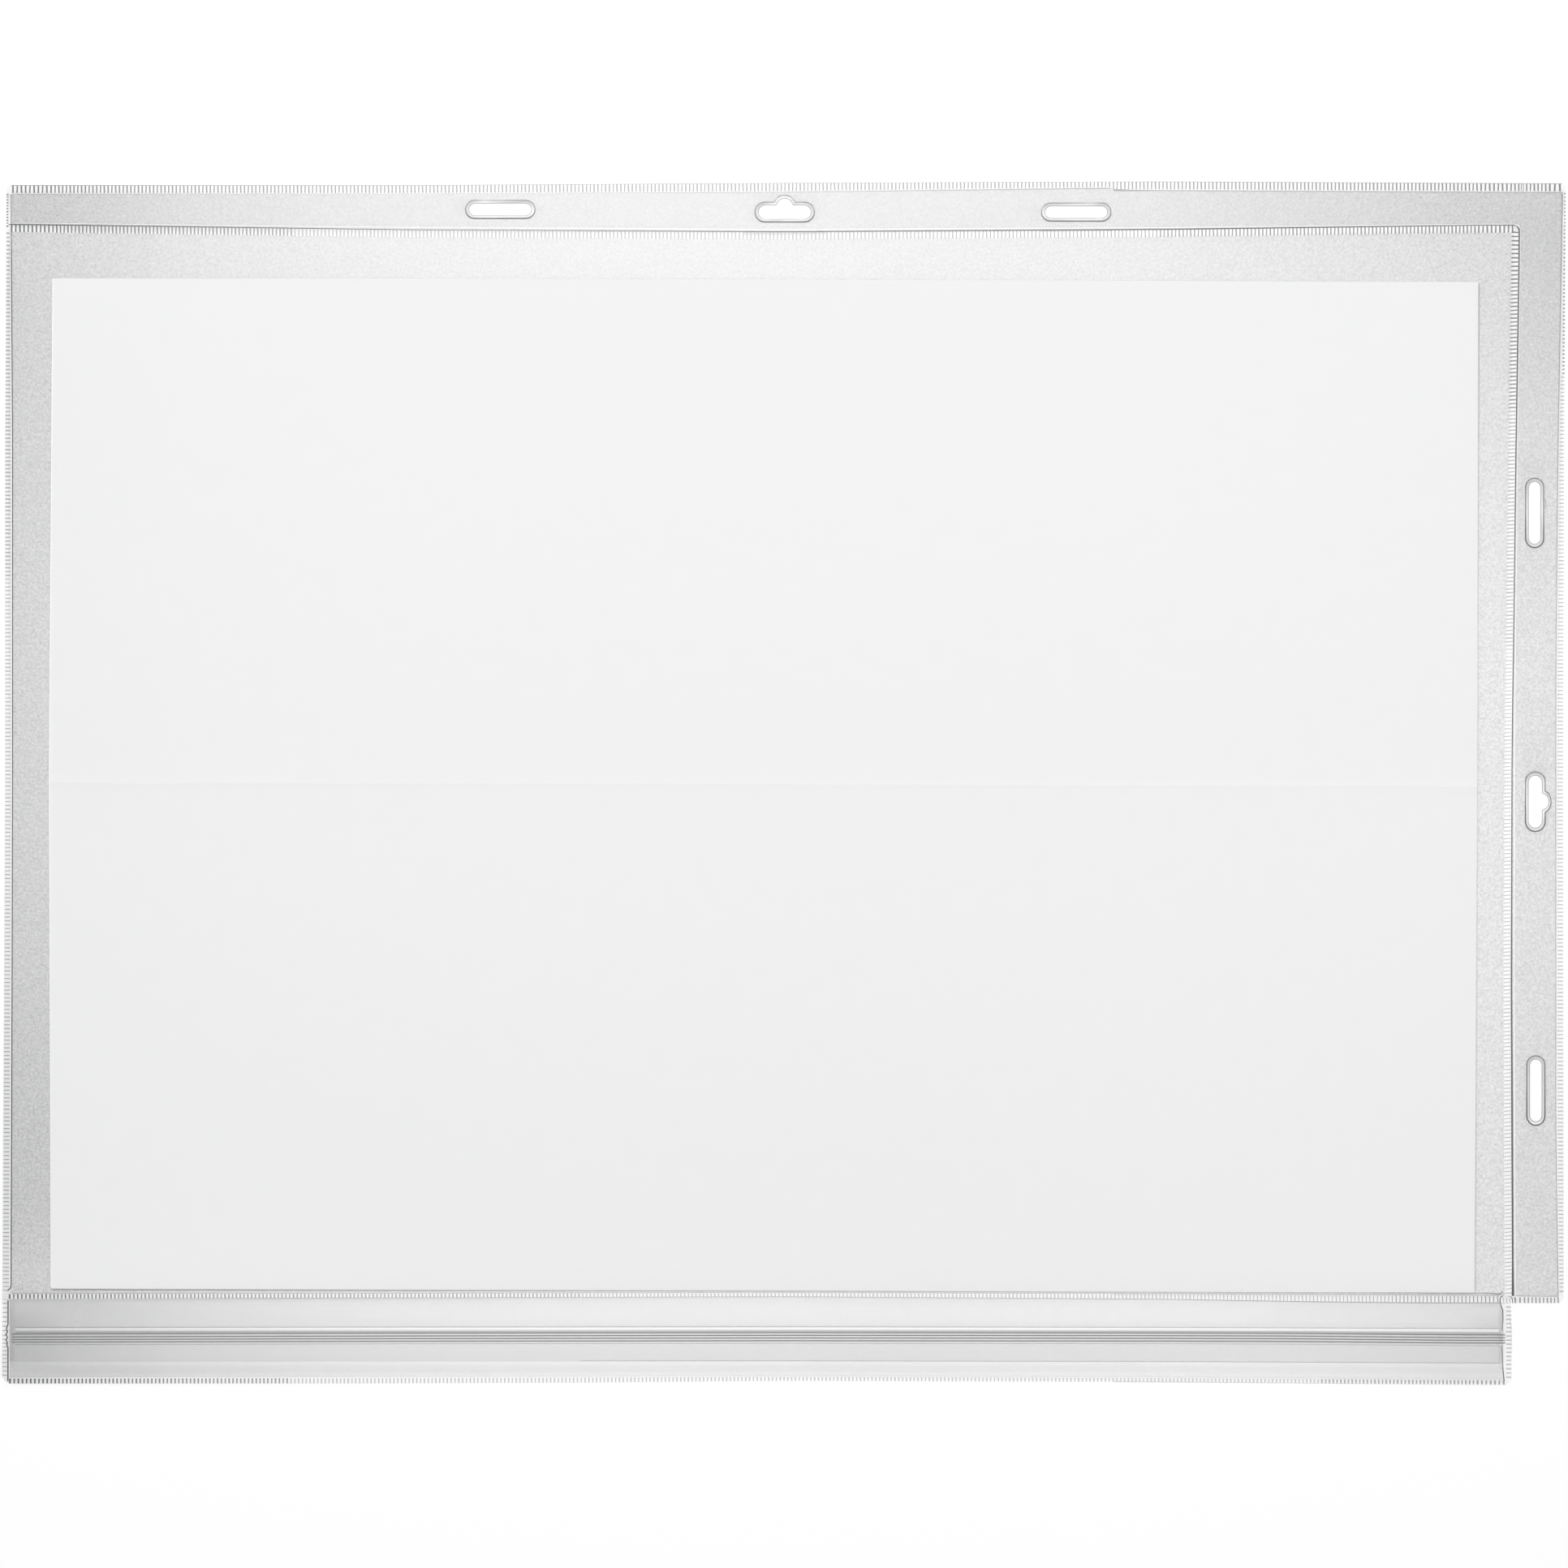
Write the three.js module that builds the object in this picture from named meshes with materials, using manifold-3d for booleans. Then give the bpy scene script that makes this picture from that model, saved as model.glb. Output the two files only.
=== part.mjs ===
// A wide document pocket for notices that hang outdoors. Two equal sheets of embossed film are
// welded along their edges and along two inner lines, which leaves a hanging margin with six
// punched holes above and beside the pocket. Two lips of clear film with a press closure between
// them are welded to the pocket's mouth, and a white sheet of paper lies inside.
// Millimetres. The pocket lies on its back on z = 0, +Y towards the upper hanging margin and +X
// towards the side one. The origin is under the middle of the whole outline.
import * as THREE from "three";
import { mergeVertices } from "three/addons/utils/BufferGeometryUtils.js";
import Module from "manifold-3d";

const wasm = await Module();
wasm.setup();

// The paper sheet, of a standard large landscape size, with one flattened fold across its middle.
const SHEET_WIDTH = 420;
const SHEET_HEIGHT = 297;
const PAPER = 0.1;
const FOLD_RISE = 0.12;
const FOLD_HALF_WIDTH = 3;

// The films and their welds.
const FILM = 0.2;
const WELD_PRESS = 0.06;
const WELD_EDGE = 0.05;
const LEFT_WELD = 2;
const TOP_WELD = 2.6;
const RIGHT_WELD = 1.8;
const INNER_WELD = 2.5;
const MOUTH_WELD = 2.5;
const CORNER_RADIUS = 2.5;

// The room between the sheet and the welds around the pocket.
const ROOM_LEFT = 11.3;
const ROOM_RIGHT = 8.6;
const ROOM_TOP = 12.6;
const ROOM_MOUTH = 1.5;
const ROOM_ABOVE_SHEET = 0.3;
const FILM_RISE_LENGTH = 1;

// The hanging margins, each measured from the inner weld to the outer edge.
const TOP_MARGIN = 13.3;
const SIDE_MARGIN = 14.6;

// The holes in the margins: two plain slots around a slot with a hump for a hook, in each margin.
const HOLE_SPACING = 85;
const HOLES_FROM_TOP = 8.5;
const HOLES_FROM_SIDE = 8.6;
const TOP_ROW_FROM_LEFT = 229.5;
const SIDE_ROW_FROM_TOP = 182;
const SLOT_LENGTH = 18.2;
const SLOT_WIDTH = 3.4;
const HOOK_SLOT_LENGTH = 15.3;
const HOOK_SLOT_WIDTH = 3.9;
const HUMP_RADIUS = 2.5;
const HUMP_RISE = 2;
const HOLE_WELD = 1.2;

// The closure: two film lips with a press closure between them.
const CLOSURE_SET_IN = 1.3;
const CLOSURE_LEFT_WELD = 1.8;
const CLOSURE_RIGHT_WELD = 2.4;
const END_RISE_LENGTH = 1.5;
const MOUTH_TO_TAPE = 7.3;
const TAPE_WIDTH = 10.2;
const TAPE_TO_LIP = 4.5;
const LIP_WELD = 1.6;
const LAP_CLEARANCE = 0.1;

// The press closure's two tapes: rails with hooked heads, three on the back and two on the front.
const TAPE = 0.2;
const RAIL_PITCH = 0.83;
const RAILS_FROM_TAPE_EDGE = 2.6;
const RAIL_HEIGHT = 1;
const STEM_WIDTH = 0.24;
const HEAD_WIDTH = 0.92;
const TIP_WIDTH = 0.4;
const TIP_CLEARANCE = 0.1;
const HOOK_CLEARANCE = 0.1;

// How finely the round stretches are cut.
const ROUND_STEPS = 10;
const RISE_STEPS = 4;

// Heights over the surface that the pocket lies on.
const BACK_TOP = FILM;
const FRONT_TOP = BACK_TOP + FILM;
const WELD_TOP = FRONT_TOP - WELD_PRESS;
const SHEET_TOP = BACK_TOP + PAPER;
const POCKET_CEILING = SHEET_TOP + ROOM_ABOVE_SHEET;
const BACK_TAPE_TOP = BACK_TOP + TAPE;
const FRONT_TAPE_UNDERSIDE = BACK_TAPE_TOP + RAIL_HEIGHT + TIP_CLEARANCE;
const LIP_CEILING = FRONT_TAPE_UNDERSIDE + TAPE;
const BACK_LAP = FILM / 2;
const FRONT_LAP = (BACK_TOP + WELD_TOP) / 2;

// Lines across the pocket, from its left edge to its right edge.
const WIDTH = LEFT_WELD + ROOM_LEFT + SHEET_WIDTH + ROOM_RIGHT + INNER_WELD + SIDE_MARGIN;
const LEFT = -WIDTH / 2;
const RIGHT = WIDTH / 2;
const POCKET_LEFT = LEFT + LEFT_WELD;
const SHEET_LEFT = POCKET_LEFT + ROOM_LEFT;
const SHEET_RIGHT = SHEET_LEFT + SHEET_WIDTH;
const POCKET_RIGHT = SHEET_RIGHT + ROOM_RIGHT;
const SIDE_MARGIN_LEFT = POCKET_RIGHT + INNER_WELD;
const CLOSURE_RIGHT = SIDE_MARGIN_LEFT - CLOSURE_SET_IN;

// Lines up the pocket, from its upper edge to the lips' lower edge.
const CLOSURE_DEPTH = MOUTH_TO_TAPE + TAPE_WIDTH + TAPE_TO_LIP + LIP_WELD;
const FILM_DEPTH = TOP_MARGIN + INNER_WELD + ROOM_TOP + SHEET_HEIGHT + ROOM_MOUTH + MOUTH_WELD;
const TOP = (FILM_DEPTH + CLOSURE_DEPTH) / 2;
const TOP_MARGIN_FOOT = TOP - TOP_MARGIN;
const POCKET_TOP = TOP_MARGIN_FOOT - INNER_WELD;
const SHEET_TOP_EDGE = POCKET_TOP - ROOM_TOP;
const SHEET_FOOT = SHEET_TOP_EDGE - SHEET_HEIGHT;
const MOUTH_LINE = SHEET_FOOT - ROOM_MOUTH;
const FILM_FOOT = MOUTH_LINE - MOUTH_WELD;
const TAPE_TOP_EDGE = FILM_FOOT - MOUTH_TO_TAPE;
const TAPE_FOOT = TAPE_TOP_EDGE - TAPE_WIDTH;
const LIP_LINE = TAPE_FOOT - TAPE_TO_LIP;
const LIP_FOOT = LIP_LINE - LIP_WELD;
const RAIL_CENTRE = TAPE_TOP_EDGE - RAILS_FROM_TAPE_EDGE;

// The tapes run between the rises at the closure's two ends.
const TAPE_LEFT = LEFT + CLOSURE_LEFT_WELD + END_RISE_LENGTH;
const TAPE_RIGHT = CLOSURE_RIGHT - CLOSURE_RIGHT_WELD - END_RISE_LENGTH;

const filmFinish = {
  color: 0xd6d8d8,
  roughness: 0.55,
  metalness: 0,
  transparent: true,
  opacity: 0.55,
};
const embossedFilm = new THREE.MeshStandardMaterial(filmFinish);
const clearFilm = new THREE.MeshStandardMaterial({ ...filmFinish, roughness: 0.25, opacity: 0.4 });
const tapePlastic = new THREE.MeshStandardMaterial({ ...filmFinish, roughness: 0.3, opacity: 0.6 });
const whitePaper = new THREE.MeshStandardMaterial({ color: 0xf2f2f2, roughness: 0.9, metalness: 0 });

// A closed three.js geometry as a solid that can be cut and joined.
function solidOf(geometry) {
  geometry.deleteAttribute("normal");
  geometry.deleteAttribute("uv");
  const merged = mergeVertices(geometry, 1e-5);
  return new wasm.Manifold(
    new wasm.Mesh({
      numProp: 3,
      vertProperties: merged.getAttribute("position").array,
      triVerts: new Uint32Array(merged.index.array),
    }),
  );
}

// A solid as a named mesh, with flat faces.
function meshOf(name, solid, material) {
  const { vertProperties, triVerts } = solid.getMesh();
  const indexed = new THREE.BufferGeometry();
  indexed.setAttribute("position", new THREE.BufferAttribute(vertProperties, 3));
  indexed.setIndex(new THREE.BufferAttribute(triVerts, 1));
  const geometry = indexed.toNonIndexed();
  geometry.computeVertexNormals();
  const mesh = new THREE.Mesh(geometry, material);
  mesh.name = name;
  return mesh;
}

// A film over a grid of lines across and up, whose underside and top are given as heights.
function filmOver(linesAcross, linesUp, underside, top) {
  const across = [...new Set(linesAcross)].sort((a, b) => a - b);
  const up = [...new Set(linesUp)].sort((a, b) => a - b);
  const points = [];
  for (const height of [underside, top])
    for (const y of up)
      for (const x of across) points.push(x, y, height(x, y));
  const row = across.length;
  const layer = row * up.length;
  const triangles = [];
  const quad = (a, b, c, d) => triangles.push(a, b, c, a, c, d);
  for (let j = 0; j + 1 < up.length; j++)
    for (let i = 0; i + 1 < row; i++) {
      const a = j * row + i;
      quad(a + layer, a + 1 + layer, a + row + 1 + layer, a + row + layer);
      quad(a, a + row, a + row + 1, a + 1);
    }
  const lastRow = row * (up.length - 1);
  for (let i = 0; i + 1 < row; i++) {
    quad(i, i + 1, i + 1 + layer, i + layer);
    quad(lastRow + i + 1, lastRow + i, lastRow + i + layer, lastRow + i + 1 + layer);
  }
  for (let j = 0; j + 1 < up.length; j++) {
    const low = j * row;
    const high = low + row;
    quad(high, low, low + layer, high + layer);
    quad(low + row - 1, high + row - 1, high + row - 1 + layer, low + row - 1 + layer);
  }
  const geometry = new THREE.BufferGeometry();
  geometry.setAttribute("position", new THREE.Float32BufferAttribute(points, 3));
  geometry.setIndex(triangles);
  return solidOf(geometry);
}

// An outline standing up as a block from one height to another.
function block(shape, from, to) {
  const geometry = new THREE.ExtrudeGeometry(shape, {
    depth: to - from,
    bevelEnabled: false,
    curveSegments: ROUND_STEPS,
  });
  return solidOf(geometry.translate(0, 0, from));
}

// A rectangle with a radius at each corner, anticlockwise from the lower left one.
function roundedRectangle(left, foot, right, top, [lowerLeft, lowerRight, upperRight, upperLeft]) {
  const shape = new THREE.Shape();
  const corner = (x, y, radius, from) => {
    if (radius > 0) shape.absarc(x, y, radius, from, from + Math.PI / 2, false);
    else shape.lineTo(x, y);
  };
  shape.moveTo(left + lowerLeft, foot);
  shape.lineTo(right - lowerRight, foot);
  corner(right - lowerRight, foot + lowerRight, lowerRight, -Math.PI / 2);
  shape.lineTo(right, top - upperRight);
  corner(right - upperRight, top - upperRight, upperRight, 0);
  shape.lineTo(left + upperLeft, top);
  corner(left + upperLeft, top - upperLeft, upperLeft, Math.PI / 2);
  shape.lineTo(left, foot + lowerLeft);
  if (lowerLeft > 0) corner(left + lowerLeft, foot + lowerLeft, lowerLeft, Math.PI);
  return shape;
}

// A slot with round ends, grown by a weld's width, and a hump on its outward side if it has one.
function slotOutline(length, width, humpRise, grow) {
  const radius = width / 2 + grow;
  const reach = (length - width) / 2;
  const shape = new THREE.Shape();
  shape.moveTo(-reach, -radius);
  shape.lineTo(reach, -radius);
  shape.absarc(reach, 0, radius, -Math.PI / 2, Math.PI / 2, false);
  if (humpRise > 0) {
    const humpRadius = HUMP_RADIUS + grow;
    const humpCentre = width / 2 + humpRise - HUMP_RADIUS;
    const foot = Math.asin((radius - humpCentre) / humpRadius);
    shape.absarc(0, humpCentre, humpRadius, foot, Math.PI - foot, false);
  }
  shape.lineTo(-reach, radius);
  shape.absarc(-reach, 0, radius, Math.PI / 2, (3 * Math.PI) / 2, false);
  return shape;
}

// The six holes: the place of each, whether it has a hump, and the turn that points its hump out.
const holeRow = [-1, 0, 1];
const holes = [
  ...holeRow.map((n) => ({
    x: LEFT + TOP_ROW_FROM_LEFT + n * HOLE_SPACING,
    y: TOP - HOLES_FROM_TOP,
    turn: 0,
    hump: n === 0,
  })),
  ...holeRow.map((n) => ({
    x: RIGHT - HOLES_FROM_SIDE,
    y: TOP - SIDE_ROW_FROM_TOP - n * HOLE_SPACING,
    turn: -Math.PI / 2,
    hump: n === 0,
  })),
];

// One hole as a block, grown by a weld's width.
function holeBlock(hole, grow, from, to) {
  const outline = hole.hump
    ? slotOutline(HOOK_SLOT_LENGTH, HOOK_SLOT_WIDTH, HUMP_RISE, grow)
    : slotOutline(SLOT_LENGTH, SLOT_WIDTH, 0, grow);
  const geometry = new THREE.ExtrudeGeometry(outline, {
    depth: to - from,
    bevelEnabled: false,
    curveSegments: ROUND_STEPS,
  });
  geometry.rotateZ(hole.turn);
  return solidOf(geometry.translate(hole.x, hole.y, from));
}

// The welds that are pressed into the pocket's films, each as left, foot, right and top.
const beyond = CORNER_RADIUS;
const welds = [
  [LEFT - beyond, FILM_FOOT - beyond, POCKET_LEFT, TOP + beyond],
  [LEFT - beyond, TOP - TOP_WELD, RIGHT + beyond, TOP + beyond],
  [RIGHT - RIGHT_WELD, FILM_FOOT - beyond, RIGHT + beyond, TOP + beyond],
  [LEFT - beyond, FILM_FOOT - beyond, RIGHT + beyond, MOUTH_LINE],
  [LEFT - beyond, POCKET_TOP, SIDE_MARGIN_LEFT, TOP_MARGIN_FOOT],
  [POCKET_RIGHT, FILM_FOOT - beyond, SIDE_MARGIN_LEFT, TOP_MARGIN_FOOT],
];

// Whether a place lies in one of some rectangles, inside the narrow slope along its sides.
function within(rectangles, x, y) {
  const slope = WELD_EDGE / 2;
  return rectangles.some(
    ([left, foot, right, top]) =>
      x > left + slope && x < right - slope && y > foot + slope && y < top - slope,
  );
}

// The grid lines that a set of rectangles needs: both sides of the slope along each edge.
function linesOf(rectangles, low, high) {
  return rectangles.flatMap((r) => [r[low], r[low] + WELD_EDGE, r[high] - WELD_EDGE, r[high]]);
}

// A smooth rise from 0 to 1.
function rise(share) {
  const held = Math.min(Math.max(share, 0), 1);
  return held * held * (3 - 2 * held);
}

// The lines that a rise between two places needs.
function riseLines(from, to) {
  return Array.from({ length: RISE_STEPS + 1 }, (_, n) => from + ((to - from) * n) / RISE_STEPS);
}

// Where the lips' tongues lie between the pocket's films, with room for their ends.
const laps = [[LEFT - beyond, FILM_FOOT - beyond, CLOSURE_RIGHT + LAP_CLEARANCE, MOUTH_LINE]];
const tongueTop = MOUTH_LINE - WELD_EDGE - LAP_CLEARANCE;

// Where the front film lifts over the pocket: 0 at the welds and 1 over the sheet.
function pocketLift(x, y) {
  const fromWeld = Math.min(x - POCKET_LEFT, POCKET_RIGHT - x, y - MOUTH_LINE, POCKET_TOP - y);
  return Math.min(Math.max(fromWeld / FILM_RISE_LENGTH, 0), 1);
}

const filmOutline = roundedRectangle(LEFT, FILM_FOOT, RIGHT, TOP, [
  0,
  CORNER_RADIUS,
  CORNER_RADIUS,
  CORNER_RADIUS,
]);
const closureOutline = roundedRectangle(LEFT, LIP_FOOT, CLOSURE_RIGHT, tongueTop, [
  CORNER_RADIUS,
  CORNER_RADIUS,
  0,
  0,
]);
const trimFrom = -FILM;
const trimTo = LIP_CEILING + 2 * FILM;

// The back film: plain, half as thick where the back lip's tongue is welded under it.
function backFilm() {
  const film = filmOver(
    [LEFT - beyond, RIGHT + beyond, ...linesOf(laps, 0, 2)],
    [FILM_FOOT - beyond, TOP + beyond, ...linesOf(laps, 1, 3)],
    (x, y) => (within(laps, x, y) ? BACK_LAP : 0),
    () => BACK_TOP,
  );
  return holes.reduce(
    (left, hole) => left.subtract(holeBlock(hole, 0, trimFrom, trimTo)),
    film.intersect(block(filmOutline, trimFrom, trimTo)),
  );
}

// The front film: pressed down at its welds and around its holes, and lifted over the sheet.
function frontFilm() {
  const film = filmOver(
    [
      ...linesOf(welds, 0, 2),
      ...linesOf(laps, 0, 2),
      POCKET_LEFT + FILM_RISE_LENGTH,
      POCKET_RIGHT - FILM_RISE_LENGTH,
    ],
    [
      ...linesOf(welds, 1, 3),
      ...linesOf(laps, 1, 3),
      MOUTH_LINE + FILM_RISE_LENGTH,
      POCKET_TOP - FILM_RISE_LENGTH,
    ],
    (x, y) => {
      if (within(laps, x, y)) return FRONT_LAP;
      return BACK_TOP + pocketLift(x, y) * (POCKET_CEILING - BACK_TOP);
    },
    (x, y) => {
      if (within(welds, x, y)) return WELD_TOP;
      return FRONT_TOP + pocketLift(x, y) * (POCKET_CEILING - BACK_TOP);
    },
  );
  return holes.reduce(
    (left, hole) =>
      left
        .subtract(holeBlock(hole, HOLE_WELD, WELD_TOP, trimTo))
        .subtract(holeBlock(hole, 0, trimFrom, trimTo)),
    film.intersect(block(filmOutline, trimFrom, trimTo)),
  );
}

// The back lip: flat, with a thinner tongue along its upper edge.
function backLip() {
  const tongueFoot = FILM_FOOT - LAP_CLEARANCE;
  const film = filmOver(
    [LEFT - beyond, CLOSURE_RIGHT + beyond],
    [LIP_FOOT - beyond, tongueFoot - WELD_EDGE, tongueFoot, tongueTop + beyond],
    () => 0,
    (x, y) => (y > tongueFoot - WELD_EDGE / 2 ? BACK_LAP : BACK_TOP),
  );
  return film.intersect(block(closureOutline, trimFrom, trimTo));
}

// The front lip: it rises from the mouth's weld over the tapes, and falls to its own lower weld.
function frontLip() {
  const tongueFoot = FILM_FOOT - LAP_CLEARANCE;
  const endWelds = [
    [LEFT - beyond, LIP_FOOT - beyond, LEFT + CLOSURE_LEFT_WELD, tongueFoot],
    [CLOSURE_RIGHT - CLOSURE_RIGHT_WELD, LIP_FOOT - beyond, CLOSURE_RIGHT + beyond, tongueFoot],
    [LEFT - beyond, LIP_FOOT - beyond, CLOSURE_RIGHT + beyond, LIP_LINE],
  ];
  const riseTop = tongueFoot - WELD_EDGE;
  const lift = (x, y) => {
    const fromLeft = (x - LEFT - CLOSURE_LEFT_WELD) / END_RISE_LENGTH;
    const fromRight = (CLOSURE_RIGHT - CLOSURE_RIGHT_WELD - x) / END_RISE_LENGTH;
    const fromMouth = (riseTop - y) / (riseTop - TAPE_TOP_EDGE);
    const fromLip = (y - LIP_LINE) / TAPE_TO_LIP;
    return rise(Math.min(fromLeft, fromRight)) * rise(Math.min(fromMouth, fromLip));
  };
  const film = filmOver(
    [
      ...linesOf(endWelds, 0, 2),
      ...riseLines(LEFT + CLOSURE_LEFT_WELD, TAPE_LEFT),
      ...riseLines(TAPE_RIGHT, CLOSURE_RIGHT - CLOSURE_RIGHT_WELD),
    ],
    [
      LIP_FOOT - beyond,
      LIP_LINE - WELD_EDGE,
      ...riseLines(LIP_LINE, TAPE_FOOT),
      ...riseLines(TAPE_TOP_EDGE, riseTop),
      tongueFoot,
      tongueTop + beyond,
    ],
    (x, y) => BACK_TOP + lift(x, y) * (LIP_CEILING - BACK_TOP),
    (x, y) => {
      if (y > tongueFoot - WELD_EDGE / 2) return FRONT_LAP;
      if (within(endWelds, x, y)) return WELD_TOP;
      return FRONT_TOP + lift(x, y) * (LIP_CEILING - BACK_TOP);
    },
  );
  return film.intersect(block(closureOutline, trimFrom, trimTo));
}

// A profile drawn as y and z, drawn out along X from one place to another.
function drawnOut(profile, from, to) {
  const shape = new THREE.Shape(profile.map(([y, z]) => new THREE.Vector2(y, z)));
  const geometry = new THREE.ExtrudeGeometry(shape, { depth: to - from, bevelEnabled: false });
  const turned = new THREE.Matrix4().makeBasis(
    new THREE.Vector3(0, 1, 0),
    new THREE.Vector3(0, 0, 1),
    new THREE.Vector3(1, 0, 0),
  );
  geometry.applyMatrix4(turned);
  return solidOf(geometry.translate(from, 0, 0));
}

// A tape with hooked rails, standing up from its flat face or hanging down from it.
function tape(flatFace, upwards, railOffsets) {
  const way = upwards ? 1 : -1;
  const railFoot = flatFace + way * TAPE;
  const tip = railFoot + way * RAIL_HEIGHT;
  const headHeight = (RAIL_HEIGHT - TIP_CLEARANCE - HOOK_CLEARANCE) / 2;
  const shoulder = tip - way * headHeight;
  const half = [STEM_WIDTH / 2, HEAD_WIDTH / 2, TIP_WIDTH / 2];
  const rails = railOffsets.flatMap((offset) => {
    const y = RAIL_CENTRE + offset * RAIL_PITCH;
    return [
      [y + half[0], railFoot],
      [y + half[0], shoulder],
      [y + half[1], shoulder],
      [y + half[2], tip],
      [y - half[2], tip],
      [y - half[1], shoulder],
      [y - half[0], shoulder],
      [y - half[0], railFoot],
    ];
  });
  const profile = [
    [TAPE_FOOT, flatFace],
    [TAPE_TOP_EDGE, flatFace],
    [TAPE_TOP_EDGE, railFoot],
    ...rails,
    [TAPE_FOOT, railFoot],
  ];
  return drawnOut(profile, TAPE_LEFT, TAPE_RIGHT);
}

// The sheet of paper, which still stands up a little along its old fold.
function paperSheet() {
  const fold = (SHEET_TOP_EDGE + SHEET_FOOT) / 2;
  const profile = [
    [SHEET_FOOT, BACK_TOP],
    [fold - FOLD_HALF_WIDTH, BACK_TOP],
    [fold, BACK_TOP + FOLD_RISE],
    [fold + FOLD_HALF_WIDTH, BACK_TOP],
    [SHEET_TOP_EDGE, BACK_TOP],
    [SHEET_TOP_EDGE, SHEET_TOP],
    [fold + FOLD_HALF_WIDTH, SHEET_TOP],
    [fold, SHEET_TOP + FOLD_RISE],
    [fold - FOLD_HALF_WIDTH, SHEET_TOP],
    [SHEET_FOOT, SHEET_TOP],
  ];
  return drawnOut(profile, SHEET_LEFT, SHEET_RIGHT);
}

const pocket = new THREE.Group();
pocket.add(
  meshOf("back_film", backFilm(), embossedFilm),
  meshOf("front_film", frontFilm(), embossedFilm),
  meshOf("back_lip", backLip(), clearFilm),
  meshOf("front_lip", frontLip(), clearFilm),
  meshOf("back_closure_tape", tape(BACK_TOP, true, [2, 0, -2]), tapePlastic),
  meshOf("front_closure_tape", tape(LIP_CEILING, false, [1, -1]), tapePlastic),
  meshOf("paper_sheet", paperSheet(), whitePaper),
);

export default pocket;
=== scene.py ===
import math

import bpy
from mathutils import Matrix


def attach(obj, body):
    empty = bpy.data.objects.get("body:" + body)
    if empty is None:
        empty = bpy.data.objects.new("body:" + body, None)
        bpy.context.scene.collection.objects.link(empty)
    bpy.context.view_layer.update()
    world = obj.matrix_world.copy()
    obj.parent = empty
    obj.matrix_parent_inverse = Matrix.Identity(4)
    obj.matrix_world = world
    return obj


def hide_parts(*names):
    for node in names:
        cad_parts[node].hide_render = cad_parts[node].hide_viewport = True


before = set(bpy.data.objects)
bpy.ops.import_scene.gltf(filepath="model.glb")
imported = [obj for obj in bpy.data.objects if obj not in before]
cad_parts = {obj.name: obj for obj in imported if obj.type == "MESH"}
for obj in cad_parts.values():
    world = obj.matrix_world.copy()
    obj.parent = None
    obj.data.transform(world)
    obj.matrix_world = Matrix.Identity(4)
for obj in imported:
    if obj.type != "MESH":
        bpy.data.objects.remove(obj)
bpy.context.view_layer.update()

# Lengths are in metres, and MM turns millimetres into them
MM = 0.001

# The outline and the welds, in millimetres from the middle of the outline
LEFT, RIGHT = -229.5, 229.5
FOOT, TOP = -176.5, 176.5
POCKET_LEFT = -227.5
SHEET_LEFT, SHEET_RIGHT = -216.2, 203.8
SHEET_FOOT, SHEET_TOP_EDGE = -148.9, 148.1
FOLD = -0.4
POCKET_RIGHT, SIDE_MARGIN_LEFT = 212.4, 214.9
OUTER_RIGHT_LINE = 227.7
TOP_WELD_LINE = 173.9
MARGIN_FOOT, POCKET_TOP = 163.2, 160.7
MOUTH_LINE, FILM_FOOT = -150.4, -152.9
TAPE_TOP_EDGE, TAPE_FOOT = -160.2, -170.4
RAIL_CENTRE = -162.8
RIB_MIDDLE, RIB_PITCH, RIB_GROOVES = -163.1, 0.79, 4
LIP_LINE = -174.9

# Heights of the faces that details sit on, in millimetres
WELD_FACE = 0.34
FILM_FACE = 0.4
POCKET_FACE = 0.8
LIP_FACE = 1.9

# How far the paper's crease, the tooth marks and the marks' roots stand above or below their face
CREASE_RISE = 0.04
MARK_RISE = 0.07
MARK_ROOT = 0.04

# Share of its thickness that a back film keeps, so that it doesn't share a plane with the one over it
THINNED = 0.92

# The knurled welds: one tooth mark follows the next at this pitch
TICK_PITCH = 1.12

# The marks differ a little, and three make a pattern: place in it, share of width, lean, share of length
MARK_SHAPES = ((0, 1.0, 0.0, 1.0), (1, 0.92, 0.04, 0.97), (2, 1.06, -0.03, 0.99))

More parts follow.
